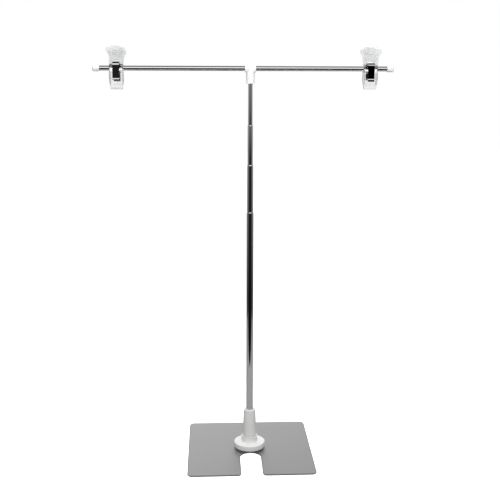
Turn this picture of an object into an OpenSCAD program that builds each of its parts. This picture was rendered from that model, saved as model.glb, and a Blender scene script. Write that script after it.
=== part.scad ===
// Telescopic T stand for signs, all sizes in millimetres.
// The origin is the middle of the plate's underside, on the pole's axis.
// X runs along the crossbar, Y from the notch to the back edge, and Z up.

/* [Base plate] */
// Side of the square steel plate
plate_side = 200; // [160:5:260]
// Thickness of the plate
plate_t = 2; // [2:0.5:6]
// Radius of the plate's corners
plate_corner_r = 8; // [2:1:20]
// Width of the notch that opens in the front edge
notch_w = 33.4; // [20:0.2:60]
// Distance from the pole's axis to the round end of the notch
notch_reach = 20.4; // [20:0.1:40]
// Radius of the two corners where the notch meets the front edge
notch_mouth_r = 6; // [1:0.5:12]

/* [Socket and sleeve] */
// Diameter of the flange that stands on the plate
flange_d = 50; // [40:1:70]
// Height of the flange's edge
flange_h = 8.5; // [6:0.5:14]
// Height of the recessed foot under the flange
foot_h = 2.7; // [1:0.1:4]
// How far the foot stands back from the flange's edge
foot_inset = 5.5; // [1:0.5:8]
// Outer diameter of the collar on the flange
collar_d = 26; // [24:0.5:36]
// Height of the collar above the flange
collar_h = 10.8; // [6:0.2:20]
// Wall of the collar
collar_wall = 1.2; // [0.8:0.1:2]
// Depth of the socket's floor under the flange's top
pocket_sink = 3.2; // [1:0.2:5]
// Height of the tapered sleeve above the collar
sleeve_h = 45; // [25:0.5:80]
// Diameter of the sleeve at its top
sleeve_top_d = 19; // [15:0.5:22]
// Thickness of the sleeve's floor
sleeve_floor = 3; // [2:0.5:6]

/* [Pole] */
// Outer diameter of the lowest tube
pole_d = 11.2; // [10:0.2:14]
// Wall of every tube
tube_wall = 0.45; // [0.4:0.05:0.6]
// Radial gap between a tube and the bore that it slides in
tube_gap = 0.2; // [0.15:0.01:0.3]
// Length of tube 1 that shows above the sleeve
shown_1 = 324.5; // [200:0.5:500]
// Length of tube 2 that shows above tube 1
shown_2 = 73.5; // [10:0.5:200]
// Length of tube 3 that shows above tube 2
shown_3 = 60.5; // [10:0.5:200]
// Length of tube 4 that shows under the T
shown_4 = 62.3; // [10:0.1:200]
// Length of each tube that stays out when the pole is pushed in
least_shown = 6; // [2:0.5:9]
// Height of the rolled lip at the top of tubes 1 to 3
lip_h = 3; // [2:0.5:6]
// Height of a guide bush below its tube
bush_h = 16; // [8:1:30]
// Length of a guide bush inside its tube
bush_spigot = 8; // [4:1:20]

/* [Fixing] */
// Diameter of the welded stud
stud_d = 6; // [4:0.5:7]
// Length of the stud above the plate
stud_h = 23; // [14:0.5:25]
// Diameter of the stud's weld flange
stud_flange_d = 10; // [9:0.5:14]
// Thickness of the stud's weld flange
stud_flange_h = 1; // [0.5:0.1:2]
// Length of the threaded insert in tube 1
insert_h = 18; // [17:1:30]

/* [T and crossbar] */
// Diameter of the crossbar
bar_d = 7.6; // [6:0.1:9]
// Length of the crossbar without its caps
bar_l = 450; // [300:5:700]
// Distance from the pole's axis to the middle of the crossbar
bar_shift = -9.3; // [-40:0.1:40]
// Outer diameter of the T's stem
stem_d = 13; // [11:0.5:18]
// Outer diameter of the T's cross barrel
barrel_d = 11.6; // [11.2:0.2:16]
// Length of the T's cross barrel
barrel_l = 16.5; // [14:0.5:40]
// Distance from the bar's axis down to the end of the stem
stem_drop = 22.2; // [14:0.2:40]
// Diameter of the end caps
cap_d = 9.8; // [9.4:0.1:12]
// Length of the end caps
cap_l = 10; // [6:0.5:20]
// Thickness of the caps' ends
cap_end = 1.5; // [1:0.1:3]

/* [Clips] */
// Distance from each end of the crossbar to the middle of its clip
clip_inset = 34; // [24:1:90]
// Lean of the left clip's top towards the back, in degrees
left_lean = 7; // [-15:1:15]
// Lean of the right clip's top towards the back, in degrees
right_lean = -3; // [-15:1:15]
// Width of a clip at its jaws and pivot
clip_w = 20.4; // [15:0.2:24]
// Height of the grips above the bar's axis
clip_up = 32; // [28:0.5:45]
// Depth of the jaws below the bar's axis
clip_down = 32; // [28:0.5:45]
// Thickness of the clear walls
clip_wall = 2; // [1.6:0.1:2.4]
// Wall of the half barrel round the bar
knuckle_wall = 2.4; // [2:0.1:3]
// Depth of each jaw in front of the middle plane
belly = 9; // [8:0.5:12]
// Distance of each grip's end from the middle plane
spread = 15; // [12:0.5:20]
// Width of the grips across their wings
grip_w = 27.5; // [25:0.5:34]
// Width of the ribbed thumb pad
pad_w = 14; // [8:0.5:15]
// How far the thumb pad stands out from the grip
pad_rise = 0.8; // [0.4:0.1:1.2]
// How far the thumb pad stands above the wings
pad_over = 3; // [1:0.5:4]
// Number of ribs on a thumb pad
rib_count = 4; // [3:1:6]
// Radius of a rib
rib_r = 0.5; // [0.3:0.1:0.8]
// Thickness of the walls along the sides of a jaw
side_wall = 1.3; // [0.8:0.1:2]
// Widest turn of each half when the clip is squeezed, in degrees
jaw_turn = 12; // [8:1:14]

/* [Spring band] */
// Width of the black spring band
band_w = 10; // [8:0.5:12]
// Thickness of the band
band_t = 0.7; // [0.4:0.1:0.9]
// Gap between the band and the clear walls
band_gap = 0.25; // [0.2:0.05:0.4]
// Height of the band's back above the half barrels
band_rise = 1.5; // [0.5:0.1:2.5]
// Radius of the band's shoulders
shoulder_r = 3.8; // [2.5:0.1:5]
// Depth of the band's feet below the bar's axis
band_down = 19; // [16:0.5:22]
// Length of a foot of the band
foot_l = 4.2; // [3.6:0.2:6]
// How far a foot of the band steps out
foot_out = 0.7; // [0.4:0.1:1]

/* [Hidden] */

// Overrun of a cut past the face that it opens
over = 1;
// Radial clearance of what turns or slides
run_gap = 0.05;
// Radial clearance of what is pressed or screwed in
press_gap = 0.02;
// Small bevel on moulded and rolled edges
bevel = 0.6;
// Sides of a full circle on the main round pieces
fine = 96;
// Sides of a full circle on a rib or a strip's end
small = 32;

// Base plate
notch_r = notch_w / 2;
notch_y = -(notch_reach + notch_r);
plate_front = -plate_side / 2;

// Socket and sleeve, from the plate up
flange_z = plate_t + foot_h;
flange_top = flange_z + flange_h;
collar_top = flange_top + collar_h;
pocket_floor = flange_top - pocket_sink;
pocket_r = collar_d / 2 - collar_wall;
stud_gap = 0.5;
sleeve_r = pocket_r - 2 * run_gap;
sleeve_top = collar_top + sleeve_h;
sleeve_mouth = 1;

// Pole: radius, bore and place of each tube, counted from 0 at the bottom
tube_step = tube_wall + tube_gap;
function tube_r(i) = pole_d / 2 - i * tube_step;
function tube_bore(i) = tube_r(i) - tube_wall;
tube_1_foot = pocket_floor + sleeve_floor;
tube_1_top = sleeve_top + shown_1;
tube_2_top = tube_1_top + shown_2;
tube_3_top = tube_2_top + shown_3;
stem_end = tube_3_top + shown_4;
bar_z = stem_end + stem_drop;
bar_r = bar_d / 2;
stem_roof = 2;
// Steps of the dome that closes the stem over the bar
dome_steps = 10;
tube_4_top = bar_z - bar_r - stem_roof;
// Pushed in, each bush stops this far above what is under it
bush_rest = 2;
insert_top = tube_1_foot + insert_h;
bush_2_foot = insert_top + bush_rest + shown_2 - least_shown;
bush_3_foot = bush_2_foot + bush_h + bush_spigot + bush_rest + shown_3 - least_shown;
bush_4_foot = bush_3_foot + bush_h + bush_spigot + bush_rest + shown_4 - least_shown;

// Clip, round the bar's axis, with Y from front to back and Z up
clip_x = bar_l / 2 - clip_inset;
clip_gap = 0.08;
knuckle_bore = bar_r + clip_gap;
knuckle_r = knuckle_bore + knuckle_wall;
tip_gap = 0.3;
// Degrees by which a half barrel stops short of the other half, beyond the turn itself
turn_slack = 2;
// Heights along a half, as shares of the clip's reach up or down
belly_top_share = 0.24;
belly_low_share = 0.52;
lip_share = 0.85;
root_share = 0.3;
neck_share = 0.56;
wing_low_share = 0.74;
wing_high_share = 0.86;
// Width of the grip's flat top, as a share of the grip's width
wing_top_share = 0.8;
// Part of the grip that carries the thumb pad and its ribs
pad_from_share = 0.56;
rib_shares = [0.64, 0.94];
pivot_y = knuckle_r - clip_wall / 2;
belly_y = belly - clip_wall / 2;
tip_y = clip_wall / 2 + tip_gap / 2;
// A front half's middle line, from the grip's end down to the jaw's lip
grip_end = [-(spread - clip_wall / 2), clip_up - clip_wall / 2];
grip_root = [-(pivot_y + clip_wall), clip_up * root_share];
pivot_front = [-pivot_y, 0];
belly_top = [-belly_y, -clip_down * belly_top_share];
belly_low = [-belly_y, -clip_down * belly_low_share];
lip_top = [-tip_y, -clip_down * lip_share];
lip_end = [-tip_y, -(clip_down - clip_wall / 2)];
half_line = [grip_end, grip_root, pivot_front, belly_top, belly_low, lip_top, lip_end];
half_bend_r = 2 * clip_wall;
wing_top = clip_up - pad_over;
window_w = band_w + 4 * band_gap;
window_top = clip_up * root_share + clip_wall / 2;
jaw_corner_r = 3;
neck_corner_r = 4;
wing_corner_r = 1.5;
side_wall_y = clip_wall;

// Spring band: a flat back over the pivot, round shoulders, straight arms past the bellies, and stepped feet
arm_y = belly + band_gap + band_t / 2;
shoulder = [-arm_y, knuckle_r + band_rise + band_t / 2];
arm_end = [-arm_y, -(band_down - foot_l)];
foot_knee = [-(arm_y + foot_out), arm_end[1] - 2 * foot_out];
foot_end = [-(arm_y + foot_out), -(band_down - band_t / 2)];
foot_bend_r = 2 * band_t;
shoulder_steps = 16;

// Helpers

function unit(v) = v / norm(v);
function left_of(v) = [-v[1], v[0]];
function between(p, q, share) = p + (q - p) * share;
function reversed(points) = [for (i = [len(points) - 1:-1:0]) points[i]];

// Direction square to a line of points at point i, long enough to keep a strip's width in a bend
function square_to(points, i) =
    let (n = len(points))
    let (before = left_of(unit(points[max(i, 1)] - points[max(i, 1) - 1])))
    let (after = left_of(unit(points[min(i, n - 2) + 1] - points[min(i, n - 2)])))
    (before + after) / (1 + before * after);

// The line of points at distance d beside another
function beside(points, d) = [
    for (i = [0:len(points) - 1])
    points[i] + d * square_to(points, i)
];

// Rounds corner i of a closed outline with radius r, as a few points on an arc
function round_corner(points, i, r, steps = 6) =
    let (n = len(points))
    let (p = points[i])
    let (to_last = unit(points[(i + n - 1) % n] - p))
    let (to_next = unit(points[(i + 1) % n] - p))
    let (half = acos(to_last * to_next) / 2)
    let (centre = p + unit(to_last + to_next) * r / sin(half))
    let (start = p + to_last * r / tan(half) - centre)
    let (turn = cross(to_last, to_next) > 0 ? -1 : 1)
    [
        for (k = [0:steps])
        let (a = turn * (180 - 2 * half) * k / steps)
        centre + [start[0] * cos(a) - start[1] * sin(a), start[0] * sin(a) + start[1] * cos(a)]
    ];

function round_outline(points, radii) = [
    for (i = [0:len(points) - 1])
    each (radii[i] > 0 ? round_corner(points, i, radii[i]) : [points[i]])
];

// An open line of points with every bend rounded
function round_bends(points, r) = [
    for (i = [0:len(points) - 1])
    each (i > 0 && i < len(points) - 1 ? round_corner(points, i, r) : [points[i]])
];

// A strip of thickness t along a line of points
module strip(points, t)
    polygon(concat(beside(points, t / 2), reversed(beside(points, -t / 2))));

// Stands a drawing in the YZ plane and gives it a width along X
module wide(width)
    rotate([90, 0, 90])
        linear_extrude(width, center = true)
            children();

// Stands a drawing in the XZ plane and gives it a depth along Y
module deep(depth)
    rotate([90, 0, 0])
        linear_extrude(depth, center = true)
            children();

// Turns a shape drawn about Z so that it lies along X
module lying()
    rotate([0, 90, 0])
        children();

// Carries what hangs on the crossbar to the bar's middle
module at_bar()
    translate([bar_shift, 0, bar_z])
        children();

// Base

module notch_outline() {
    translate([0, notch_y])
        circle(r = notch_r, $fn = fine);
    translate([-notch_r, plate_front - over])
        square([notch_w, notch_y - plate_front + over]);
}

// What a rounded notch corner loses, at the notch's right side
module mouth_corner()
    difference() {
        translate([notch_r - over, plate_front - over])
            square(notch_mouth_r + over);
        translate([notch_r + notch_mouth_r, plate_front + notch_mouth_r])
            circle(r = notch_mouth_r, $fn = fine);
    }

module base_plate()
    color("silver")
        linear_extrude(plate_t)
            difference() {
                union() {
                    square([plate_side, plate_side - 2 * plate_corner_r], center = true);
                    square([plate_side - 2 * plate_corner_r, plate_side], center = true);
                    for (x = [-1, 1], y = [-1, 1])
                        translate([x, y] * (plate_side / 2 - plate_corner_r))
                            circle(r = plate_corner_r, $fn = fine);
                }
                notch_outline();
                mouth_corner();
                mirror([1, 0])
                    mouth_corner();
            }

module base_stud()
    color("gainsboro")
        translate([0, 0, plate_t]) {
            cylinder(d = stud_flange_d, h = stud_flange_h, $fn = fine);
            cylinder(d = stud_d, h = stud_h, $fn = fine);
        }

module base_socket()
    color("whitesmoke")
        rotate_extrude($fn = fine)
            difference() {
                polygon([
                    [0, plate_t],
                    [flange_d / 2 - foot_inset, plate_t],
                    [flange_d / 2 - foot_inset, flange_z],
                    [flange_d / 2 - bevel, flange_z],
                    [flange_d / 2, flange_z + bevel],
                    [flange_d / 2, flange_top - bevel],
                    [flange_d / 2 - bevel, flange_top],
                    [collar_d / 2 + bevel, flange_top],
                    [collar_d / 2, flange_top + bevel],
                    [collar_d / 2, collar_top - bevel / 2],
                    [collar_d / 2 - bevel / 2, collar_top],
                    [pocket_r + bevel / 2, collar_top],
                    [pocket_r, collar_top - bevel],
                    [pocket_r, pocket_floor],
                    [0, pocket_floor]
                ]);
                square([stud_d / 2 + stud_gap, pocket_floor + over]);
                square([stud_flange_d / 2 + stud_gap, plate_t + stud_flange_h + stud_gap]);
            }

module pole_sleeve()
    color("white")
        rotate_extrude($fn = fine)
            polygon([
                [stud_d / 2 + stud_gap, pocket_floor],
                [sleeve_r - bevel, pocket_floor],
                [sleeve_r, pocket_floor + bevel],
                [sleeve_r, collar_top],
                [sleeve_top_d / 2, sleeve_top - bevel],
                [sleeve_top_d / 2 - bevel, sleeve_top],
                [tube_r(0) + sleeve_mouth, sleeve_top],
                [tube_r(0) + run_gap, sleeve_top - sleeve_mouth],
                [tube_r(0) + run_gap, tube_1_foot],
                [stud_d / 2 + stud_gap, tube_1_foot]
            ]);

module pole_insert()
    color("goldenrod")
        translate([0, 0, tube_1_foot])
            difference() {
                cylinder(r = tube_bore(0) - press_gap, h = insert_h, $fn = fine);
                translate([0, 0, -over])
                    cylinder(r = stud_d / 2 + press_gap, h = insert_h, $fn = fine);
            }

// Pole

// Tube i from its foot to its rolled lip, which closes on the next tube
module lipped_tube(i, foot, top)
    color("lightsteelblue")
        rotate_extrude($fn = fine)
            polygon([
                [tube_bore(i), foot],
                [tube_r(i), foot],
                [tube_r(i), top - tube_wall],
                [tube_r(i) - tube_wall / 2, top],
                [tube_r(i + 1) + run_gap, top],
                [tube_r(i + 1) + run_gap, top - lip_h],
                [tube_bore(i), top - lip_h - tube_gap]
            ]);

// Bush at the foot of tube i: a plug in the tube and a ring that runs in the tube outside
module guide_bush(i, foot)
    color("ivory")
        translate([0, 0, foot]) {
            cylinder(r = tube_bore(i - 1) - run_gap, h = bush_h, $fn = fine);
            cylinder(r = tube_bore(i) - press_gap, h = bush_h + bush_spigot, $fn = fine);
        }

module top_tube()
    color("lightsteelblue")
        translate([0, 0, bush_4_foot + bush_h])
            difference() {
                cylinder(r = tube_r(3), h = tube_4_top - bush_4_foot - bush_h, $fn = fine);
                translate([0, 0, -over])
                    cylinder(r = tube_bore(3), h = tube_4_top - bush_4_foot + over, $fn = fine);
            }

// T and crossbar

module tee_fitting()
    color("white")
        translate([0, 0, bar_z])
            difference() {
                union() {
                    lying()
                        rotate_extrude($fn = fine)
                            polygon([
                                [0, -barrel_l / 2],
                                [barrel_d / 2 - bevel, -barrel_l / 2],
                                [barrel_d / 2, bevel - barrel_l / 2],
                                [barrel_d / 2, barrel_l / 2 - bevel],
                                [barrel_d / 2 - bevel, barrel_l / 2],
                                [0, barrel_l / 2]
                            ]);
                    rotate_extrude($fn = fine)
                        polygon([
                            [0, -stem_drop],
                            [stem_d / 2 - bevel, -stem_drop],
                            [stem_d / 2, bevel - stem_drop],
                            each [
                                for (k = [0:dome_steps])
                                stem_d / 2 * [cos(90 * k / dome_steps), sin(90 * k / dome_steps)]
                            ]
                        ]);
                }
                lying()
                    cylinder(r = bar_r + run_gap, h = barrel_l + 2 * over, center = true, $fn = fine);
                translate([0, 0, -stem_drop - over])
                    cylinder(
                        r = tube_r(3) + run_gap,
                        h = stem_drop - bar_r - stem_roof + over + run_gap,
                        $fn = fine
                    );
            }

module crossbar()
    color("lightsteelblue")
        at_bar()
            lying()
                difference() {
                    cylinder(r = bar_r, h = bar_l, center = true, $fn = fine);
                    cylinder(r = bar_r - tube_wall, h = bar_l + 2 * over, center = true, $fn = fine);
                }

// Cap on the crossbar's right end
module end_cap()
    color("white")
        at_bar()
            translate([bar_l / 2 + cap_end - cap_l, 0, 0])
                lying()
                    rotate_extrude($fn = fine)
                        polygon([
                            [bar_r + press_gap, 0],
                            [cap_d / 2 - bevel / 2, 0],
                            [cap_d / 2, bevel / 2],
                            [cap_d / 2, cap_l - 2 * bevel],
                            [cap_d / 2 - bevel / 2, cap_l - bevel],
                            [cap_d / 2 - 2 * bevel, cap_l],
                            [0, cap_l],
                            [0, cap_l - cap_end],
                            [bar_r + press_gap, cap_l - cap_end]
                        ]);

module end_cap_left()
    translate([2 * bar_shift, 0, 0])
        mirror([1, 0, 0])
            end_cap();

// Clips

// A clip's outline seen from the front, without its thumb pad
module clip_outline() {
    right = [
        [clip_w / 2 - clip_wall / 2, -clip_down],
        [clip_w / 2, -clip_down * belly_low_share],
        [clip_w / 2, clip_up * neck_share],
        [grip_w / 2, clip_up * wing_low_share],
        [grip_w / 2, clip_up * wing_high_share],
        [grip_w / 2 * wing_top_share, wing_top]
    ];
    radii = [jaw_corner_r, 0, neck_corner_r, wing_corner_r, wing_corner_r, wing_corner_r];
    last = len(right) - 1;
    polygon(round_outline(
        concat(right, [for (i = [last:-1:0]) [-right[i][0], right[i][1]]]),
        concat(radii, [for (i = [last:-1:0]) radii[i]])
    ));
}

// The part of a half that lies round the bar, leaving room above for the halves to turn
module knuckle_section()
    intersection() {
        difference() {
            circle(r = knuckle_r, $fn = fine);
            circle(r = knuckle_bore, $fn = fine);
        }
        polygon([
            [0, 0],
            2 * knuckle_r * [-sin(jaw_turn + turn_slack), cos(jaw_turn + turn_slack)],
            2 * knuckle_r * [-1, 1],
            2 * knuckle_r * [-1, -1],
            2 * knuckle_r * [-sin(turn_slack), -cos(turn_slack)]
        ]);
    }

// The walls along the sides of a jaw, filled back to near the middle plane
module side_section()
    polygon([
        pivot_front,
        belly_top,
        belly_low,
        lip_top,
        [-side_wall_y, lip_top[1] + clip_wall],
        [-side_wall_y, -knuckle_r + clip_wall / 2],
        pivot_y * [-cos(45), -sin(45)]
    ]);

// Front half, with the bar's axis at the origin
module clip_half() {
    outward = left_of(unit(grip_end - grip_root));
    pad_face = outward * (clip_wall / 2 + pad_rise);
    pad_start = between(grip_root, grip_end, pad_from_share);
    difference() {
        intersection() {
            union() {
                wide(grip_w)
                    strip(round_bends(half_line, half_bend_r), clip_wall);
                for (side = [-1, 1])
                    translate([side * (clip_w - side_wall) / 2, 0, 0])
                        wide(side_wall)
                            side_section();
            }
            union() {
                deep(4 * spread)
                    clip_outline();
                translate([-pad_w / 2, -2 * spread, clip_up * wing_high_share])
                    cube([pad_w, 4 * spread, clip_up * (1 - wing_high_share)]);
            }
        }
        translate([-window_w / 2, -2 * spread, 0])
            cube([window_w, 2 * spread, window_top]);
    }
    wide(clip_w)
        knuckle_section();
    wide(pad_w) {
        polygon(round_outline(
            [pad_start, grip_end, grip_end + pad_face, pad_start + pad_face],
            [0, 0, pad_rise, 0]
        ));
        for (i = [0:rib_count - 1])
            translate(
                between(grip_root, grip_end,
                    rib_shares[0] + (rib_shares[1] - rib_shares[0]) * i / (rib_count - 1))
                + pad_face
            )
                circle(r = rib_r, $fn = small);
    }
}

module clip_spring() {
    arm = round_bends([foot_end, foot_knee, arm_end, shoulder], foot_bend_r);
    bend = round_corner([arm_end, shoulder, [0, shoulder[1]]], 1, shoulder_r, shoulder_steps);
    front = concat([for (i = [0:len(arm) - 2]) arm[i]], bend);
    wide(band_w)
        strip(concat(front, [for (point = reversed(front)) [-point[0], point[1]]]), band_t);
}

// Puts a clip's piece on the bar, leaning back at its top
module on_bar(x, lean)
    at_bar()
        translate([x, 0, 0])
            rotate([-lean, 0, 0])
                children();

module clip_front(x, lean)
    color("aliceblue", 0.5)
        on_bar(x, lean)
            clip_half();

module clip_rear(x, lean)
    color("aliceblue", 0.5)
        on_bar(x, lean)
            mirror([0, 1, 0])
                clip_half();

module clip_band(x, lean)
    color("dimgray")
        on_bar(x, lean)
            clip_spring();

base_plate();
base_stud();
base_socket();
pole_sleeve();
pole_insert();
lipped_tube(0, tube_1_foot, tube_1_top);  // pole_tube_1
lipped_tube(1, bush_2_foot + bush_h, tube_2_top);  // pole_tube_2
lipped_tube(2, bush_3_foot + bush_h, tube_3_top);  // pole_tube_3
top_tube();  // pole_tube_4
guide_bush(1, bush_2_foot);  // guide_bush_2
guide_bush(2, bush_3_foot);  // guide_bush_3
guide_bush(3, bush_4_foot);  // guide_bush_4
tee_fitting();
crossbar();
end_cap_left();
end_cap();  // end_cap_right
clip_front(-clip_x, left_lean);  // clip_left_front
clip_rear(-clip_x, left_lean);  // clip_left_rear
clip_band(-clip_x, left_lean);  // clip_left_spring
clip_front(clip_x, right_lean);  // clip_right_front
clip_rear(clip_x, right_lean);  // clip_right_rear
clip_band(clip_x, right_lean);  // clip_right_spring
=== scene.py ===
"""Telescopic T stand for signs: its looks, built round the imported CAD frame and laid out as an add-on."""

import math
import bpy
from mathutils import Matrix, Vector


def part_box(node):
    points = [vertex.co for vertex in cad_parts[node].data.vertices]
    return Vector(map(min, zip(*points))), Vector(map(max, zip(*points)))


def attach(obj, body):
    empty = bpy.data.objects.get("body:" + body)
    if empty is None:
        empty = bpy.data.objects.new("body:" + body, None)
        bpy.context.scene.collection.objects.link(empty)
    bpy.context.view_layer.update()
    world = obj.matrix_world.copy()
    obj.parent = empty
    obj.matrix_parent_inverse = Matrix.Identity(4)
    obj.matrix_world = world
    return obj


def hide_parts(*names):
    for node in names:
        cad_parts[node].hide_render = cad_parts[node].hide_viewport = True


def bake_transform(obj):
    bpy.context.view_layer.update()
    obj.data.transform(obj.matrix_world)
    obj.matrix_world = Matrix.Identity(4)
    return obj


bl_info = {
    "name": "Telescopic T stand",
    "version": (1, 0, 0),
    "blender": (4, 5, 0),
    "location": "View3D > Sidebar > T Stand",
    "description": "Builds the plate, pole, T, crossbar and clips of a sign stand round its CAD frame",
    "category": "Object",
}

import bmesh
import bpy
from bpy.props import FloatProperty, FloatVectorProperty, IntProperty, PointerProperty
from mathutils import Matrix, Vector

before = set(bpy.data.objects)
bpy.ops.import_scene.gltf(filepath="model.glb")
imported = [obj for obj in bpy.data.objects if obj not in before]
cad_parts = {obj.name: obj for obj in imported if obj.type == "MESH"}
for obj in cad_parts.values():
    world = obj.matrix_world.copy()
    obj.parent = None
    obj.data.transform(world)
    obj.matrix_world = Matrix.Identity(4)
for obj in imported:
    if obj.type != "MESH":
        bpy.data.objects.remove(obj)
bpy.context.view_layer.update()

MM = 0.001
ON_AXIS = 1e-9  # a radius under this is a point on the axis
WELD = 0.002 * MM  # vertices of a CAD mesh that are nearer than this are one
SHARP = math.radians(35)  # an edge over this angle stays sharp
BORE_SIDES = 64

TUBES = ("pole_tube_1", "pole_tube_2", "pole_tube_3", "pole_tube_4")
HALVES = ("front", "rear")

# How far the CAD turns each clip on the bar
CLIP_LEANS = {"left": math.radians(7), "right": math.radians(-3)}

# Heights on a spring band, in mm from the bar's axis, and how strong its painted highlight is there
BAND_HIGHLIGHTS = ((-16.6, 0), (-16.2, 1), (-15.0, 1), (-14.6, 0), (4.4, 0), (4.9, 1), (7.0, 1), (7.5, 0))

# The room that the stand reflects, as stops of place and brightness: from before the stand, 0, to behind
# it, 1, then from straight down, 0, to straight up, 1, and by the same height the glow before the stand
ROOM_TILT = math.radians(12)
ROOM_BEHIND = ((0, 0.01), (0.03, 0.02), (0.17, 0.10), (0.48, 0.34), (0.7, 0.5), (0.9, 0.85), (1, 1.0))
ROOM_HEIGHT = (
    *((0, 0.85), (0.125, 0.6), (0.25, 0.25), (0.38, 0.12)),
    *((0.46, 0.4), (0.55, 0.5), (0.72, 0.5), (0.87, 0.25), (1, 0.26)),
)
ROOM_GLOW = ((0, 0), (0.47, 0), (0.497, 0.17), (0.515, 0.24), (0.54, 0.10), (0.56, 0))

# Lamps: name, place, target, size, radiance, and whether the stand reflects it
LAMPS = (
    ("overhead", (0, 0.35, 2.2), (0, 0, 0), (2.4, 2.0), 2.1, False),
    ("front_box", (0.1, -1.33, 1.36), (0, 0, 0.612), (2.2, 1.13), 1.15, True),
    ("upper_fill", (0, -0.7, 0.75), (0, 0, 0.6), (0.4, 0.4), 7.2, False),
    ("lower_fill", (0, -1.3, 0.45), (0, 0, 0.1), (0.5, 0.5), 4.4, False),
)


# Places that the frame gives


def low(node):
    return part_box(node)[0]


def high(node):
    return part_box(node)[1]


def middle(node):
    return (low(node) + high(node)) / 2


def radius(node):
    """Half the width of a round node, across the Y axis."""
    return (high(node).y - low(node).y) / 2


BAR_Z = middle("crossbar").z
BAR_R = radius("crossbar")


# Sizes and colours that a user may change


class PlateSizes(bpy.types.PropertyGroup):
    corner_r: FloatProperty(
        name="Corner radius", description="Radius of the plate's corners", default=8 * MM, unit="LENGTH"
    )
    notch_w: FloatProperty(
        name="Notch width",
        description="Width of the notch in the front edge",
        default=33.4 * MM,
        unit="LENGTH",
    )
    notch_reach: FloatProperty(
        name="Notch reach",
        description="From the pole's axis to the notch's round end",
        default=20.4 * MM,
        unit="LENGTH",
    )
    mouth_r: FloatProperty(
        name="Mouth radius",
        description="Radius where the notch meets the front edge",
        default=6 * MM,
        unit="LENGTH",
    )
    edge_r: FloatProperty(
        name="Edge rounding",
        description="Rounding of the sheet's tumbled edges",
        default=0.6 * MM,
        unit="LENGTH",
    )
    # The darker rim is painted shade along the sheet's edges and its notch
    edge_shade_w: FloatProperty(
        name="Rim width",
        description="Width of the darker rim that shearing leaves",
        default=1.4 * MM,
        unit="LENGTH",
    )
    steel: FloatVectorProperty(
        name="Steel",
        description="Colour of the satin sheet steel",
        default=(0.56, 0.56, 0.565),
        subtype="COLOR",
    )


class SocketSizes(bpy.types.PropertyGroup):
    foot_h: FloatProperty(
        name="Foot height", description="Height of the recessed foot", default=2.7 * MM, unit="LENGTH"
    )
    foot_inset: FloatProperty(
        name="Foot inset", description="How far the foot stands back", default=5.5 * MM, unit="LENGTH"
    )
    flange_h: FloatProperty(
        name="Flange height", description="Height of the flange's edge", default=8.5 * MM, unit="LENGTH"
    )
    collar_d: FloatProperty(
        name="Collar diameter", description="Outer diameter of the collar", default=26 * MM, unit="LENGTH"
    )
    collar_wall: FloatProperty(
        name="Collar wall", description="Wall of the collar", default=1.2 * MM, unit="LENGTH"
    )
    pocket_sink: FloatProperty(
        name="Pocket depth",
        description="The collar's floor under the flange's top",
        default=3.2 * MM,
        unit="LENGTH",
    )
    sleeve_top_d: FloatProperty(
        name="Sleeve top", description="Diameter of the sleeve at its top", default=19 * MM, unit="LENGTH"
    )
    bead: FloatProperty(
        name="Collar bead",
        description="Height of the bead round the collar's rim",
        default=1 * MM,
        unit="LENGTH",
    )
    seam: FloatProperty(
        name="Seam",
        description="Depth of the seams round the sleeve's foot and mouth",
        default=1 * MM,
        unit="LENGTH",
    )
    rounding: FloatProperty(
        name="Rounding", description="Rounding of the moulded edges", default=0.7 * MM, unit="LENGTH"
    )
    stud_gap: FloatProperty(
        name="Stud gap",
        description="Gap between the threaded stud and its hole",
        default=0.5 * MM,
        unit="LENGTH",
    )
    plastic: FloatVectorProperty(
        name="Plastic",
        description="Colour of the white mouldings",
        default=(0.80, 0.80, 0.79),
        subtype="COLOR",
    )


class PoleSizes(bpy.types.PropertyGroup):
    tube_wall: FloatProperty(
        name="Tube wall", description="Wall of every chrome tube", default=0.45 * MM, unit="LENGTH"
    )
    lip_h: FloatProperty(
        name="Lip height", description="Height of the rolled end of a tube", default=3 * MM, unit="LENGTH"
    )
    lip_roll: FloatProperty(
        name="Lip roll",
        description="Radius of the roll that draws a lip in at its top",
        default=3.2 * MM,
        unit="LENGTH",
    )
    lip_fall: FloatProperty(
        name="Lip fall", description="Height of that roll", default=1.6 * MM, unit="LENGTH"
    )
    lip_slope: FloatProperty(
        name="Lip slope",
        description="Height of the slope under a lip's throat",
        default=0.25 * MM,
        unit="LENGTH",
    )
    run_gap: FloatProperty(
        name="Running gap",
        description="Gap between a lip and the next tube",
        default=0.05 * MM,
        unit="LENGTH",
    )
    chrome: FloatVectorProperty(
        name="Chrome",
        description="Colour of the chrome plating",
        default=(0.80, 0.80, 0.81),
        subtype="COLOR",
    )
    sides: IntProperty(
        name="Sides", description="Faces round every turned piece", default=96, min=24, max=256
    )


class TeeSizes(bpy.types.PropertyGroup):
    barrel_d: FloatProperty(
        name="Barrel diameter",
        description="Outer diameter of the T's barrel",
        default=11.6 * MM,
        unit="LENGTH",
    )
    edge_r: FloatProperty(
        name="Edge rounding", description="Rounding of the T's edges", default=0.5 * MM, unit="LENGTH"
    )
    plastic: FloatVectorProperty(
        name="Plastic",
        description="Colour of the T and the caps",
        default=(0.90, 0.90, 0.89),
        subtype="COLOR",
    )
    cap_gap: FloatProperty(
        name="Cap gap",
        description="Gap between the crossbar and its caps",
        default=0.02 * MM,
        unit="LENGTH",
    )
    cap_wall: FloatProperty(
        name="Cap wall", description="Thickness of a cap's closed end", default=1.5 * MM, unit="LENGTH"
    )
    cap_mouth_r: FloatProperty(
        name="Cap mouth", description="Rounding inside a cap's mouth", default=0.2 * MM, unit="LENGTH"
    )
    cap_rim_r: FloatProperty(
        name="Cap rim", description="Rounding outside a cap's mouth", default=0.3 * MM, unit="LENGTH"
    )
    cap_end_r: FloatProperty(
        name="Cap end", description="Rounding of a cap's closed end", default=1.6 * MM, unit="LENGTH"
    )


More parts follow.
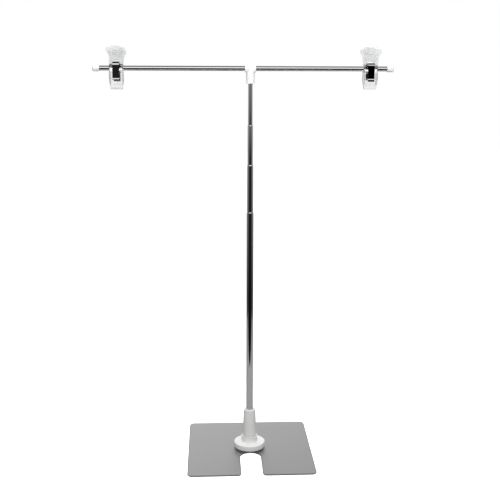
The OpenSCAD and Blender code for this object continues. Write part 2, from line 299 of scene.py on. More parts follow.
class ClipSizes(bpy.types.PropertyGroup):
    edge_r: FloatProperty(
        name="Edge rounding",
        description="Rounding of the clear mouldings' edges",
        default=0.35 * MM,
        unit="LENGTH",
    )
    jaw_w: FloatProperty(
        name="Jaw width", description="Width of a clip at its jaws", default=20.4 * MM, unit="LENGTH"
    )
    side_wall: FloatProperty(
        name="Side wall", description="Thickness of the walls along a jaw", default=1.3 * MM, unit="LENGTH"
    )
    clear: FloatVectorProperty(
        name="Clear plastic",
        description="Tint of the clear plastic",
        default=(0.935, 0.94, 0.94),
        subtype="COLOR",
    )
    band_back: FloatProperty(
        name="Band back",
        description="Height of the band's back above the bar's axis",
        default=8.1 * MM,
        unit="LENGTH",
    )
    band_arm: FloatProperty(
        name="Band arm",
        description="From the bar's axis forward to the band's arm",
        default=9.6 * MM,
        unit="LENGTH",
    )
    band_low: FloatProperty(
        name="Band shoulder",
        description="Height at which an arm of the band is straight",
        default=4.3 * MM,
        unit="LENGTH",
    )
    band_edge_r: FloatProperty(
        name="Band rounding", description="Rounding of the band's edges", default=0.12 * MM, unit="LENGTH"
    )
    band: FloatVectorProperty(
        name="Spring band",
        description="Colour of the blackened spring band",
        default=(0.011, 0.011, 0.012),
        subtype="COLOR",
    )
    # The spring band's painted highlights take this colour
    highlit: FloatVectorProperty(
        name="Worn steel",
        description="Colour where the spring band is worn bright",
        default=(0.6, 0.6, 0.6),
        subtype="COLOR",
    )


class InnerSizes(bpy.types.PropertyGroup):
    stud_steel: FloatVectorProperty(
        name="Stud steel",
        description="Colour of the threaded stud",
        default=(0.55, 0.55, 0.56),
        subtype="COLOR",
    )
    stud_pitch: FloatProperty(
        name="Stud pitch", description="Pitch of the stud's thread", default=1 * MM, unit="LENGTH"
    )
    brass: FloatVectorProperty(
        name="Brass",
        description="Colour of the threaded insert",
        default=(0.72, 0.55, 0.26),
        subtype="COLOR",
    )
    insert_pitch: FloatProperty(
        name="Insert pitch", description="Pitch of the rings on the insert", default=0.8 * MM, unit="LENGTH"
    )
    ivory: FloatVectorProperty(
        name="Ivory", description="Colour of the guide bushes", default=(0.72, 0.70, 0.62), subtype="COLOR"
    )


class StageSizes(bpy.types.PropertyGroup):
    eye: FloatVectorProperty(
        name="Camera place",
        description="Where the camera stands",
        default=(-0.0608, -1.2662, 0.5910),
        subtype="TRANSLATION",
    )
    yaw: FloatProperty(
        name="Yaw", description="Turn of the camera to the right", default=0.04805, subtype="ANGLE"
    )
    pitch: FloatProperty(
        name="Pitch", description="Tilt of the camera downwards", default=0.20049, subtype="ANGLE"
    )
    roll: FloatProperty(name="Roll", description="Roll of the camera", default=0.00263, subtype="ANGLE")
    lens_px: FloatProperty(
        name="Focal length", description="Focal length in pixels of the photograph", default=823.26
    )
    photo_px: IntProperty(
        name="Photograph width", description="Width of the photograph in pixels", default=500
    )
    floor_half: FloatProperty(
        name="Floor half", description="Half the side of the pale floor", default=6.0, unit="LENGTH"
    )
    card_half: FloatProperty(
        name="Card half",
        description="How far the card reaches beside and behind the pole",
        default=0.8,
        unit="LENGTH",
    )
    card_sink: FloatProperty(
        name="Card depth",
        description="How far the card lies under the floor",
        default=0.2 * MM,
        unit="LENGTH",
    )
    card_front: FloatProperty(
        name="Card front",
        description="How far the grey table card reaches in front of the pole",
        default=0.42,
        unit="LENGTH",
    )


# Shader nodes


class Value:
    """A shader socket that takes part in sums. Each sum adds its Math node."""

    def __init__(self, tree, socket):
        self.tree = tree
        self.socket = socket

    def __add__(self, other):
        return self.tree.math("ADD", self, other)

    def __radd__(self, other):
        return self.tree.math("ADD", other, self)

    def __sub__(self, other):
        return self.tree.math("SUBTRACT", self, other)

    def __rsub__(self, other):
        return self.tree.math("SUBTRACT", other, self)

    def __mul__(self, other):
        return self.tree.math("MULTIPLY", self, other)

    def __pow__(self, other):
        return self.tree.math("POWER", self, other)


class Tree:
    """A node tree, with one method that adds any node."""

    def __init__(self, owner):
        owner.use_nodes = True
        self.nodes = owner.node_tree.nodes
        self.links = owner.node_tree.links

    def plug(self, socket, value):
        if isinstance(value, Value):
            self.links.new(value.socket, socket)
        elif socket.type == "RGBA":
            socket.default_value = (*value, 1.0)
        else:
            socket.default_value = value

    def node(self, kind, settings=None, inputs=None, output=0):
        """Adds a node of that type, sets it up, fills its sockets and gives one of its outputs."""
        made = self.nodes.new(kind)
        for key, value in (settings or {}).items():
            if key == "stops":
                self.stops(made.color_ramp, value)
            else:
                setattr(made, key, value)
        for key, value in (inputs or {}).items():
            self.plug(made.inputs[key], value)
        return Value(self, made.outputs[output])

    def math(self, operation, *terms, clamp=False):
        settings = {"operation": operation, "use_clamp": clamp}
        return self.node("ShaderNodeMath", settings, dict(enumerate(terms)))

    def ramp(self, value, *stops):
        return self.node("ShaderNodeValToRGB", {"stops": stops}, {0: value})

    def blend(self, share, first, second):
        """From the first colour to the second as share goes from 0 to 1."""
        return self.node("ShaderNodeMix", {"data_type": "RGBA"}, {0: share, 6: first, 7: second}, output=2)

    @staticmethod
    def stops(ramp, stops):
        """Gives a ramp its stops, as pairs of place and grey."""
        while len(ramp.elements) > 1:
            ramp.elements.remove(ramp.elements[-1])
        for i, (place, grey) in enumerate(stops):
            stop = ramp.elements[0] if i == 0 else ramp.elements.new(place)
            stop.position = place
            stop.color = (grey, grey, grey, 1.0)


class Finish(Tree):
    """A material with one Principled shader."""

    def __init__(self, name, **sockets):
        self.material = bpy.data.materials.new(name)
        super().__init__(self.material)
        self.shader = self.nodes["Principled BSDF"]
        self.set(**sockets)

    def set(self, **sockets):
        """Sets the shader's sockets. Words joined by _ name the socket."""
        for key, value in sockets.items():
            name = {"ior": "IOR"}.get(key, key.replace("_", " ").title())
            self.plug(self.shader.inputs[name], value)
        return self

    def place(self, stretch):
        """Where a point is on its object, in metres, stretched along each axis."""
        spot = self.node("ShaderNodeTexCoord", output="Object")
        return self.node("ShaderNodeVectorMath", {"operation": "MULTIPLY"}, {0: spot, 1: stretch})

    def axis(self, name):
        spot = self.node("ShaderNodeTexCoord", output="Object")
        return self.node("ShaderNodeSeparateXYZ", inputs={0: spot}, output=name)

    def noise(self, scale, stretch=(1, 1, 1), detail=3):
        """Cloudy values from 0 to 1. scale is in cells a metre."""
        inputs = {"Vector": self.place(stretch), "Scale": scale, "Detail": detail}
        return self.node("ShaderNodeTexNoise", inputs=inputs)

    def bump(self, height, strength, depth):
        return self.node("ShaderNodeBump", inputs={"Height": height, "Strength": strength, "Distance": depth})


# Finishes


def shaded(colour, share):
    return [c * share for c in colour]


def satin_steel(colour, half, notch, reach, rim):
    """Sheet steel with a fine lengthwise grain, faint clouds, a painted sheen that lightens it toward the
    back-left corner, and a rim of painted shade along its edges.

    half and notch are half the widths of the plate and of its notch, reach is from the pole's axis to the
    notch's round end, and rim is the width of the painted shade along the edges.
    """
    f = Finish("satin_steel", metallic=1.0)
    grain = f.noise(900, stretch=(0.04, 1, 1), detail=4)
    clouds = f.noise(14, detail=2)
    light = shaded(colour, 1.10)
    x, y = f.axis("X"), f.axis("Y")
    # Painted sheen: the rise of y - x lightens the steel toward the back-left corner; the clouds are random
    # tone
    clouds_and_sheen = f.math("ADD", clouds * 0.4 + 0.3, (y - x) * 3.0, clamp=True)
    shade = f.blend(grain * 0.35, f.blend(clouds_and_sheen, shaded(colour, 0.88), light), light)
    # How far past the outer edge and the notch's edge a point is: 0 at the edge, below 0 on the sheet
    across = f.math("ABSOLUTE", x)
    outer = f.math("MAXIMUM", across, f.math("ABSOLUTE", y)) - half
    past = f.math("MAXIMUM", y + (reach + notch), 0)
    inner = notch - (across ** 2 + past ** 2) ** 0.5
    # The ramp goes from four rims inside the edge to the edge itself, so its last quarter is the rim of
    # painted shade
    edge = f.ramp(f.math("MAXIMUM", outer, inner) * (0.25 / rim) + 1, (0.75, 0), (0.82, 1))
    f.set(base_color=f.blend(edge, shade, shaded(colour, 0.66)))
    f.set(roughness=0.40 + grain * 0.10 + clouds * 0.06)
    return f.set(normal=f.bump(grain, 0.12, 0.05 * MM))


def bright_chrome(colour, along="Z"):
    """Chrome plating with faint draw lines along the tube and light smears."""
    stretch = {"Z": (1, 1, 0.01), "X": (0.01, 1, 1)}[along]
    f = Finish(f"bright_chrome_{along.lower()}", metallic=1.0)
    lines = f.noise(1500, stretch=stretch, detail=2)
    smears = f.noise(35, detail=3)
    f.set(base_color=f.blend(smears, shaded(colour, 0.94), colour))
    f.set(roughness=0.03 + smears * 0.03 + lines * 0.02)
    return f.set(normal=f.bump(lines, 0.05, 0.01 * MM))


def white_moulding(colour, name="white_moulding"):
    """White moulded plastic with a faint skin and slightly uneven gloss."""
    f = Finish(name, ior=1.5)
    skin = f.noise(2600, detail=2)
    clouds = f.noise(60, detail=3)
    f.set(base_color=f.blend(clouds, shaded(colour, 0.96), colour))
    f.set(roughness=0.30 + clouds * 0.12 + skin * 0.04)
    return f.set(normal=f.bump(skin, 0.10, 0.03 * MM))


def clear_moulding(colour, name, centre, half, wall):
    """Clear moulded plastic with flow marks and scuffs, darker streaks of painted shade on the grips, jaws
    painted paler for the light through them, and side walls in painted shade.

    centre is the clip's middle along the bar, half is half its width and wall is how thick a side wall is.
    """
    f = Finish(name, ior=1.49, transmission_weight=1.0)
    flow = f.noise(220, detail=2)
    scuffs = f.noise(1400, stretch=(1, 1, 0.2), detail=3)
    # Painted shade: darker streaks on the grips stand in for the clear plastic's refraction
    streak_shade = f.ramp(f.noise(260, stretch=(0.7, 1, 2), detail=1), (0.5, 0), (0.6, 1))
    grip = f.blend(streak_shade, colour, shaded(colour, 0.86))
    # The ramp's middle is the outer face of a side wall, and share is the wall's thickness on it
    off = f.math("ABSOLUTE", f.axis("X") - centre)
    share = wall / half / 2
    stops = ((-0.75, 0), (-0.45, 1), (0.2, 1), (1, 0))
    side = f.ramp(off * (0.5 / half), *((0.5 + place * share, grey) for place, grey in stops))
    # Painted light and shade: below the bar's axis the jaws are painted paler, and their side walls painted
    # darker
    pale = [0.3 * c + 0.7 for c in colour]
    below = f.math("LESS_THAN", f.axis("Z"), BAR_Z)
    f.set(base_color=f.blend(below, grip, f.blend(side, pale, shaded(colour, 0.5))))
    f.set(roughness=0.015 + scuffs * 0.03)
    return f.set(normal=f.bump(flow, 0.10, 0.05 * MM))


def black_spring(colour, highlit):
    """Blackened spring steel, slightly rubbed, with painted highlights on its upper and lower bends."""
    f = Finish("black_spring", metallic=1.0)
    rub = f.noise(700, stretch=(1, 1, 0.3), detail=3)
    per_mm = 0.02  # how far a millimetre goes on the ramp, whose middle is the bar's axis
    rise = (f.axis("Z") - BAR_Z) * (per_mm / MM) + 0.5
    # Painted highlights on the band's upper and lower bends
    highlights = f.ramp(rise, *((0.5 + per_mm * z, shine) for z, shine in BAND_HIGHLIGHTS))
    black = f.blend(rub, shaded(colour, 0.8), shaded(colour, 1.2))
    f.set(base_color=f.blend(highlights, black, highlit))
    f.set(roughness=0.04 + rub * 0.04)
    return f.set(normal=f.bump(rub, 0.08, 0.02 * MM))


def threaded_metal(name, colour, pitch):
    """Turned metal whose thread shows as fine rings."""
    f = Finish(name, metallic=1.0)
    turns = f.math("PINGPONG", f.axis("Z"), pitch / 2) * (2 / pitch)
    stain = f.noise(180, detail=3)
    f.set(base_color=f.blend(stain, shaded(colour, 0.8), colour))
    f.set(roughness=0.28 + stain * 0.15)
    return f.set(normal=f.bump(turns, 0.6, 0.3 * MM))


# Meshes


def turned(angle, point):
    """A point of the YZ plane, turned about the X axis."""
    y, z = point
    return y * math.cos(angle) - z * math.sin(angle), y * math.sin(angle) + z * math.cos(angle)


def arc(centre, r, start, end, steps):
    """Points on an arc, from start to end in degrees."""
    return [
        (
            centre[0] + r * math.cos(math.radians(start + (end - start) * i / steps)),
            centre[1] + r * math.sin(math.radians(start + (end - start) * i / steps)),
        )
        for i in range(steps + 1)
    ]


def rounded(corners, steps=5):
    """A closed outline from corners (r, z, rounding): each corner with a rounding becomes an arc."""
    points = []
    n = len(corners)
    for i, (*place, rounding) in enumerate(corners):
        p = Vector(place)
        if rounding == 0:
            points.append(tuple(p))
            continue
        back = (Vector(corners[i - 1][:2]) - p).normalized()
        ahead = (Vector(corners[(i + 1) % n][:2]) - p).normalized()
        half = back.angle(ahead) / 2
        centre = p + (back + ahead).normalized() * rounding / math.sin(half)
        first = p + back * rounding / math.tan(half) - centre
        sweep = (math.pi - 2 * half) * (-1 if back.cross(ahead) > 0 else 1)
        for k in range(steps + 1):
            points.append(tuple(centre + Matrix.Rotation(sweep * k / steps, 2) @ first))
    return points


def add_object(name, data):
    """Adds an object to the scene."""
    made = bpy.data.objects.new(name, data)
    bpy.context.scene.collection.objects.link(made)
    return made


def add_mesh(name, bm):
    """Adds an object with the shape of a bmesh, which it uses up."""
    mesh = bpy.data.meshes.new(name)
    bm.to_mesh(mesh)
    bm.free()
    return add_object(name, mesh)


def add_smooth(name, bm):
    """Adds an object with the shape of a bmesh, all smooth but for its sharp edges."""
    bmesh.ops.recalc_face_normals(bm, faces=bm.faces)
    for face in bm.faces:
        face.smooth = True
    for edge in bm.edges:
        if edge.calc_face_angle(0) > SHARP:
            edge.smooth = False
    return add_mesh(name, bm)


def lathe(name, outline, sides, closed=True, along="Z", centre=(0, 0, 0)):
    """Turns an outline of (radius, height) points about an axis. One that isn't closed ends on the axis."""
    bm = bmesh.new()
    rings = []
    for r, h in outline:
        if r < ON_AXIS:
            rings.append([bm.verts.new((0, 0, h))])
            continue
        turn = [2 * math.pi * k / sides for k in range(sides)]
        rings.append([bm.verts.new((r * math.cos(a), r * math.sin(a), h)) for a in turn])
    pairs = list(zip(rings, rings[1:]))
    if closed and len(rings[0]) > 1 and len(rings[-1]) > 1:
        pairs.append((rings[-1], rings[0]))
    for below, above in pairs:
        if len(below) == 1 and len(above) == 1:
            continue
        for k in range(sides):
            corners = [
                below[k % len(below)],
                below[(k + 1) % len(below)],
                above[(k + 1) % len(above)],
                above[k % len(above)],
            ]
            bm.faces.new(list(dict.fromkeys(corners)))
    if along == "X":
        bmesh.ops.rotate(bm, verts=bm.verts, matrix=Matrix.Rotation(math.pi / 2, 3, "Y"))
    bmesh.ops.translate(bm, verts=bm.verts, vec=centre)
    return add_smooth(name, bm)


def stacked(name, rings):
    """A solid from rings of points, each with as many points, closed by a flat face at both ends."""
    bm = bmesh.new()
    made = [[bm.verts.new(p) for p in ring] for ring in rings]
    for below, above in zip(made, made[1:]):
        for k in range(len(below)):
            after = (k + 1) % len(below)
            bm.faces.new([below[k], below[after], above[after], above[k]])
    ends = [bm.faces.new(made[0]), bm.faces.new(made[-1])]
    bmesh.ops.recalc_face_normals(bm, faces=bm.faces)
    for face in bm.faces:
        face.smooth = face not in ends
    for edge in {e for face in ends for e in face.edges}:
        edge.smooth = False
    return add_mesh(name, bm)


def combine(target, tool, operation):
    """Joins another solid to target, or cuts it away, and removes the tool."""
    modifier = target.modifiers.new(operation.lower(), "BOOLEAN")
    modifier.operation = operation
    modifier.solver = "MANIFOLD"
    modifier.object = tool
    bpy.context.view_layer.update()
    shape = bpy.data.meshes.new_from_object(target.evaluated_get(bpy.context.evaluated_depsgraph_get()))
    target.modifiers.remove(modifier)
    target.data = shape
    bpy.data.objects.remove(tool)


def soften(piece, width, weld=False, angle=35, segments=3):
    """Rounds the edges of a piece that are over that angle, in degrees, with modifiers."""
    if weld:
        piece.modifiers.new("weld", "WELD").merge_threshold = WELD
    bevel = piece.modifiers.new("soften", "BEVEL")
    bevel.width = width
    bevel.segments = segments
    bevel.limit_method = "ANGLE"
    bevel.angle_limit = math.radians(angle)
    bevel.harden_normals = True


def dress(piece, finish):
    """Gives a piece its finish, as its one material."""
    piece.data.materials.clear()
    piece.data.materials.append(finish.material)
    return piece


def settle(piece, body, node):
    """Lets a piece ride on its body, in place of that CAD node."""
    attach(piece, body)
    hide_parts(node)


# Operators, one for each piece or group of like pieces


class OBJECT_OT_base_plate(bpy.types.Operator):
    """Adds the notched steel plate with rounded edges"""

    bl_idname = "t_stand.base_plate"
    bl_label = "Base Plate"

    @staticmethod
    def outline(sizes, inset):
        half = high("base_plate").x
        side, mouth = sizes.corner_r, sizes.mouth_r
        notch = sizes.notch_w / 2
        far = half - side
        return (
            arc((notch + mouth, mouth - half), mouth - inset, 180, 270, 8)
            + arc((far, -far), side - inset, 270, 360, 10)
            + arc((far, far), side - inset, 0, 90, 10)
            + arc((-far, far), side - inset, 90, 180, 10)
            + arc((-far, -far), side - inset, 180, 270, 10)
            + arc((-notch - mouth, mouth - half), mouth - inset, 270, 360, 8)
            + arc((0, -(sizes.notch_reach + notch)), notch + inset, 180, 0, 40)
        )

    def execute(self, context):
        sizes = context.scene.t_stand_plate
        top = high("base_plate").z
        e = sizes.edge_r
        turns = [math.radians(a) for a in (0, 22.5, 45, 67.5, 90)]
        under = [(e * (1 - math.sin(a)), e * (1 - math.cos(a))) for a in turns]
        over = [(inset, top - z) for inset, z in reversed(under)]
        rings = [[(x, y, z) for x, y in self.outline(sizes, inset)] for inset, z in under + over]
        half = high("base_plate").x
        steel = satin_steel(sizes.steel, half, sizes.notch_w / 2, sizes.notch_reach, sizes.edge_shade_w)
        piece = dress(stacked("base_sheet", rings), steel)
        settle(piece, "base", "base_plate")
        return {"FINISHED"}


class OBJECT_OT_socket(bpy.types.Operator):
    """Adds the white flange with its collar, and the tapered sleeve in it"""

    bl_idname = "t_stand.socket"
    bl_label = "Socket and Sleeve"

    def execute(self, context):
        sizes = context.scene.t_stand_socket
        pole = context.scene.t_stand_pole
        white = white_moulding(sizes.plastic)
        e = sizes.rounding
        foot = high("base_plate").z
        flange = foot + sizes.foot_h
        top = flange + sizes.flange_h
        rim = high("base_socket").z
        wide = radius("base_socket")
        collar = sizes.collar_d / 2
        pocket = collar - sizes.collar_wall
        floor = top - sizes.pocket_sink
        stud = radius("base_stud") + sizes.stud_gap
        bead = sizes.bead
        neck = collar - 0.6 * bead
        lip = pocket - 1.1 * bead
        under_lip = rim - 0.6 * bead
        socket = lathe(
            "socket_flange",
            rounded([
                (stud, foot, 0),
                (wide - sizes.foot_inset, foot, 0),
                (wide - sizes.foot_inset, flange, 0),
                (wide, flange, e),
                (wide, top, 1.3 * e),
                (neck, top, 1.5 * e),
                (neck, rim - 1.6 * bead, 0.3 * bead),
                (collar, rim - bead, 0.3 * bead),
                (collar, rim, 0.48 * sizes.collar_wall),
                (lip, rim, 0.2 * bead),
                (lip, under_lip, 0),
                (pocket, under_lip, 0),
                (pocket, floor, 0),
                (stud, floor, 0),
            ]),
            pole.sides,
        )
        settle(dress(socket, white), "base", "base_socket")
        tall = high("pole_sleeve").z
        tip = sizes.sleeve_top_d / 2
        grip = radius("pole_tube_1") + pole.run_gap
        body = pocket - 2 * pole.run_gap
        seam = sizes.seam
        groove = body - 1.8 * seam
        ledge = rim - 2 * seam
        mouth = grip + 0.3 * seam
        sleeve = lathe(
            "pole_ferrule",
            rounded([
                (stud, floor, 0),
                (body, floor, e),
                (body, ledge, 0),
                (groove, ledge, 0),
                (groove, rim + 0.1 * seam, 0),
                (body - 0.5 * seam, rim + 0.7 * seam, 0.3 * e),
                (tip, tall, 2.2 * e),
                (mouth, tall, 0.3 * e),
                (mouth, tall - seam, 0),
                (grip, tall - 2 * seam, 0),
                (grip, low("pole_tube_1").z, 0),
                (stud, low("pole_tube_1").z, 0),
            ]),
            pole.sides,
        )
        settle(dress(sleeve, white), "base", "pole_sleeve")
        return {"FINISHED"}


class OBJECT_OT_pole(bpy.types.Operator):
    """Adds the four chrome tubes, all but the top one with a rolled end"""

    bl_idname = "t_stand.pole"
    bl_label = "Telescopic Pole"

    def execute(self, context):
        sizes = context.scene.t_stand_pole
        chrome = bright_chrome(sizes.chrome)
        bodies = ("base", "pole_2", "pole_3", "pole_4")
        for i, (node, body) in enumerate(zip(TUBES, bodies)):
            foot, top, r = low(node).z, high(node).z, radius(node)
            bore = r - sizes.tube_wall
            if i < len(TUBES) - 1:
                throat = radius(TUBES[i + 1]) + sizes.run_gap
                neck = top - sizes.lip_h
                roll, fall = sizes.lip_roll, sizes.lip_fall
                turn = math.degrees(math.asin(fall / roll))
                outline = [
                    (bore, foot),
                    (r, foot),
                    *arc((r - roll, top - fall), roll, 0, turn, 8),
                    (throat, top),
                    (throat, neck),
                    (bore, neck - sizes.lip_slope),
                ]
            else:
                outline = [(bore, foot), (r, foot), (r, top), (bore, top)]
            piece = lathe(f"chrome_tube_{i + 1}", outline, sizes.sides)
            settle(dress(piece, chrome), body, node)
        return {"FINISHED"}


class OBJECT_OT_tee(bpy.types.Operator):
    """Adds the white T that holds the crossbar on the pole"""

    bl_idname = "t_stand.tee"
    bl_label = "T Fitting"

    def execute(self, context):
        sizes = context.scene.t_stand_pole
        tee = context.scene.t_stand_tee
        box_low, box_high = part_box("tee_fitting")
        stem = (box_high.y - box_low.y) / 2
        barrel = tee.barrel_d / 2
        reach = box_high.x
        piece = lathe(
            "tee_moulding",
            [(0, -reach), (barrel, -reach), (barrel, reach), (0, reach)],
            sizes.sides,
            closed=False,
            along="X",
            centre=(0, 0, BAR_Z),
        )
        post = lathe(
            "post",
            [(0, box_low.z), (stem, box_low.z), *arc((0, BAR_Z), stem, 0, 90, 12)[:-1], (0, BAR_Z + stem)],
            sizes.sides,
            closed=False,
        )
        combine(piece, post, "UNION")
        tube_r, tube_top = radius("pole_tube_4"), high("pole_tube_4").z
        bores = (
            ("bar_bore", BAR_R, -2 * reach, 2 * reach, "X", (0, 0, BAR_Z)),
            ("tube_bore", tube_r, box_low.z - reach, tube_top, "Z", (0, 0, 0)),
        )
        for name, fit, start, end, along, centre in bores:
            r = fit + sizes.run_gap
            outline = [(0, start), (r, start), (r, end), (0, end)]
            tool = lathe(name, outline, BORE_SIDES, closed=False, along=along, centre=centre)
            combine(piece, tool, "DIFFERENCE")
        soften(piece, tee.edge_r, angle=30)
        white = white_moulding(tee.plastic, "tee_moulding")
        settle(dress(piece, white), "tee", "tee_fitting")
        return {"FINISHED"}


class OBJECT_OT_crossbar(bpy.types.Operator):
    """Adds the chrome crossbar and its two white caps"""

    bl_idname = "t_stand.crossbar"
    bl_label = "Crossbar and Caps"

    def execute(self, context):
        sizes = context.scene.t_stand_pole
        caps = context.scene.t_stand_tee
        start, end = low("crossbar").x, high("crossbar").x
        bore = BAR_R - sizes.tube_wall
        tube = lathe(
            "chrome_bar",
            [(bore, start), (BAR_R, start), (BAR_R, end), (bore, end)],
            sizes.sides,
            along="X",
            centre=(0, 0, BAR_Z),
        )
        settle(dress(tube, bright_chrome(sizes.chrome, "X")), "bar", "crossbar")
        white = white_moulding(caps.plastic, "cap_moulding")
        for side, sign in (("left", -1), ("right", 1)):
            node = f"end_cap_{side}"
            box_low, box_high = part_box(node)
            long = box_high.x - box_low.x
            r = radius(node)
            mouth = BAR_R + caps.cap_gap
            bottom = long - caps.cap_wall
            outline = rounded([
                (mouth, 0, caps.cap_mouth_r),
                (r, 0, caps.cap_rim_r),
                (r, long, caps.cap_end_r),
                (0, long, 0),
                (0, bottom, 0),
                (mouth, bottom, 0),
            ], steps=6)
            inner = box_high.x if side == "left" else box_low.x
            outline = [(radial, sign * along) for radial, along in outline]
            cap = lathe(f"white_cap_{side}", outline, sizes.sides, along="X", centre=(inner, 0, BAR_Z))
            settle(dress(cap, white), "bar", node)
        return {"FINISHED"}


class OBJECT_OT_clips(bpy.types.Operator):
    """Gives the clips' clear halves their finish and rounded edges, and adds their black spring bands"""

    bl_idname = "t_stand.clips"
    bl_label = "Clips"

    @staticmethod
    def band_half(node, half, lean):
        """The front or rear half of a spring band, cut at the clip's middle plane."""
        bm = bmesh.new()
        bm.from_mesh(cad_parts[node].data)
        bmesh.ops.remove_doubles(bm, verts=bm.verts, dist=WELD)
        forward = Vector((0, *turned(-lean, (-1 if half == "front" else 1, 0))))
        cut = bmesh.ops.bisect_plane(
            bm,
            geom=[*bm.verts, *bm.edges, *bm.faces],
            plane_co=(0, 0, BAR_Z),
            plane_no=forward,
            clear_inner=True,
        )
        rim = [e for e in cut["geom_cut"] if isinstance(e, bmesh.types.BMEdge)]
        bmesh.ops.edgenet_fill(bm, edges=rim)
        bmesh.ops.dissolve_limit(bm, angle_limit=math.radians(1), verts=bm.verts, edges=bm.edges)
        return add_smooth(node.replace("spring", "band") + "_" + half, bm)

    def execute(self, context):
        sizes = context.scene.t_stand_clips
        black = black_spring(sizes.band, sizes.highlit)
        for side, lean in CLIP_LEANS.items():
            centre = middle(f"clip_{side}_front").x
            name = f"clear_moulding_{side}"
            clear = clear_moulding(sizes.clear, name, centre, sizes.jaw_w / 2, sizes.side_wall)
            band_node = f"clip_{side}_spring"
            for half in HALVES:
                soften(dress(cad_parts[f"clip_{side}_{half}"], clear), sizes.edge_r, weld=True)
                band = dress(self.band_half(band_node, half, lean), black)
                soften(band, sizes.band_edge_r, segments=2)
                band.modifiers.new("even", "WEIGHTED_NORMAL").keep_sharp = True
                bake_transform(band)
                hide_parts(band_node)
        return {"FINISHED"}


class OBJECT_OT_inner_fittings(bpy.types.Operator):
    """Gives the stud, the insert and the guide bushes their finishes"""

    bl_idname = "t_stand.inner_fittings"
    bl_label = "Inner Fittings"

    def execute(self, context):
        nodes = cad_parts
        sizes = context.scene.t_stand_inner
        dress(nodes["base_stud"], threaded_metal("stud_steel", sizes.stud_steel, sizes.stud_pitch))
        dress(nodes["pole_insert"], threaded_metal("turned_brass", sizes.brass, sizes.insert_pitch))
        ivory = white_moulding(sizes.ivory, "ivory_moulding")
        for node in ("guide_bush_2", "guide_bush_3", "guide_bush_4"):
            dress(nodes[node], ivory)
        return {"FINISHED"}


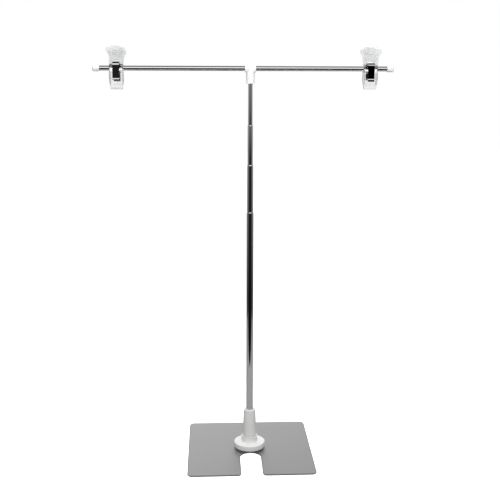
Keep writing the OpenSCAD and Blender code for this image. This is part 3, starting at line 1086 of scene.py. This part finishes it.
class OBJECT_OT_stage(bpy.types.Operator):
    """Adds the pale floor, the studio light and the camera"""

    bl_idname = "t_stand.stage"
    bl_label = "Stage"

    @staticmethod
    def sheet(name, x, y, z, finish):
        """A flat sheet at height z, between two values of x and two of y."""
        corners = [(x[0], y[0], z), (x[1], y[0], z), (x[1], y[1], z), (x[0], y[1], z)]
        mesh = bpy.data.meshes.new(name)
        mesh.from_pydata(corners, [], [(0, 1, 2, 3)])
        made = add_object(name, mesh)
        return dress(made, finish)

    @staticmethod
    def lamp(name, place, target, size, radiance, glossy):
        """A soft rectangular lamp that faces target. radiance is 1 for a white that renders as full white."""
        light = bpy.data.lights.new(name, "AREA")
        light.shape = "RECTANGLE"
        light.size, light.size_y = size
        light.energy = radiance * math.pi * size[0] * size[1]
        made = add_object(name, light)
        made.location = place
        made.rotation_euler = (Vector(target) - Vector(place)).to_track_quat("-Z", "Y").to_euler()
        made.visible_camera = False
        made.visible_glossy = glossy
        made.visible_transmission = False

    @staticmethod
    def surroundings():
        """A room that is bright behind the stand and dark in front of it but for a glow at eye level.

        The camera sees it as plain white.
        """
        world = bpy.data.worlds.new("surroundings")
        bpy.context.scene.world = world
        tree = Tree(world)
        shown = tree.node("ShaderNodeTexCoord", output="Generated")
        away = (0, math.cos(ROOM_TILT), math.sin(ROOM_TILT))
        dot = {"operation": "DOT_PRODUCT"}
        back = tree.node("ShaderNodeVectorMath", dot, {0: shown, 1: away}, output="Value")
        behind = tree.ramp(0.5 + back * 0.5, *ROOM_BEHIND)
        rise = 0.5 + tree.node("ShaderNodeSeparateXYZ", inputs={0: shown}, output="Z") * 0.5
        room = behind * tree.ramp(rise, *ROOM_HEIGHT) * 2 + tree.ramp(rise, *ROOM_GLOW) * (1 - behind)
        straight = tree.node("ShaderNodeLightPath", output="Is Camera Ray")
        tree.plug(tree.nodes["Background"].inputs["Color"], tree.blend(straight, room, (1, 1, 1)))

    @staticmethod
    def camera(sizes):
        """The camera of the photograph, from its place, three turns and focal length."""
        cy, sy = math.cos(sizes.yaw), math.sin(sizes.yaw)
        cp, sp = math.cos(sizes.pitch), math.sin(sizes.pitch)
        forward = Vector((sy * cp, cy * cp, -sp))
        right = Vector((cy, -sy, 0))
        up = right.cross(forward)
        cr, sr = math.cos(sizes.roll), math.sin(sizes.roll)
        right, up = right * cr + up * sr, up * cr - right * sr
        view = bpy.data.cameras.new("camera")
        view.sensor_fit = "HORIZONTAL"
        view.lens = sizes.lens_px / sizes.photo_px * view.sensor_width
        made = add_object("camera", view)
        turn = Matrix((right, up, -forward)).transposed().to_4x4()
        made.matrix_world = Matrix.Translation(sizes.eye) @ turn
        bpy.context.scene.camera = made

    def execute(self, context):
        sizes = context.scene.t_stand_stage
        context.scene.view_settings.view_transform = "Standard"
        self.surroundings()
        paper = Finish("white_paper", base_color=(0.9, 0.9, 0.9), roughness=0.9)
        paper.set(emission_color=(1, 1, 1), emission_strength=0.8)
        half = sizes.floor_half
        floor = self.sheet("floor", (-half, half), (-half, half), 0, paper)
        floor.visible_glossy = floor.visible_diffuse = False
        # Only reflections see the card: it's the table that darkens the foot of the chrome
        grey = Finish("grey_card", base_color=(0.52, 0.52, 0.52), roughness=0.9)
        half = sizes.card_half
        card = self.sheet("table_card", (-half, half), (-sizes.card_front, half), -sizes.card_sink, grey)
        card.visible_camera = card.visible_diffuse = card.visible_shadow = card.visible_transmission = False
        for lamp in LAMPS:
            self.lamp(*lamp)
        self.camera(sizes)
        return {"FINISHED"}


PIECES = (
    OBJECT_OT_base_plate,
    OBJECT_OT_socket,
    OBJECT_OT_pole,
    OBJECT_OT_tee,
    OBJECT_OT_crossbar,
    OBJECT_OT_clips,
    OBJECT_OT_inner_fittings,
    OBJECT_OT_stage,
)
GROUPS = {
    "t_stand_plate": PlateSizes,
    "t_stand_socket": SocketSizes,
    "t_stand_pole": PoleSizes,
    "t_stand_tee": TeeSizes,
    "t_stand_clips": ClipSizes,
    "t_stand_inner": InnerSizes,
    "t_stand_stage": StageSizes,
}


class VIEW3D_PT_t_stand(bpy.types.Panel):
    """Sizes and colours of the stand, and a button for each piece"""

    bl_idname = "VIEW3D_PT_t_stand"
    bl_label = "Telescopic T Stand"
    bl_space_type = "VIEW_3D"
    bl_region_type = "UI"
    bl_category = "T Stand"

    def draw(self, context):
        for name in GROUPS:
            group = getattr(context.scene, name)
            box = self.layout.box()
            for key in group.bl_rna.properties.keys():
                if key not in ("rna_type", "name"):
                    box.prop(group, key)
        for piece in PIECES:
            self.layout.operator(piece.bl_idname)


def register():
    for made in (*GROUPS.values(), *PIECES, VIEW3D_PT_t_stand):
        bpy.utils.register_class(made)
    for name, group in GROUPS.items():
        setattr(bpy.types.Scene, name, PointerProperty(type=group))


def unregister():
    for name in GROUPS:
        delattr(bpy.types.Scene, name)
    for made in reversed((*GROUPS.values(), *PIECES, VIEW3D_PT_t_stand)):
        bpy.utils.unregister_class(made)


def main():
    register()
    bpy.ops.t_stand.base_plate()
    bpy.ops.t_stand.socket()
    bpy.ops.t_stand.pole()
    bpy.ops.t_stand.tee()
    bpy.ops.t_stand.crossbar()
    bpy.ops.t_stand.clips()
    bpy.ops.t_stand.inner_fittings()
    bpy.ops.t_stand.stage()


if __name__ == "__main__":
    main()
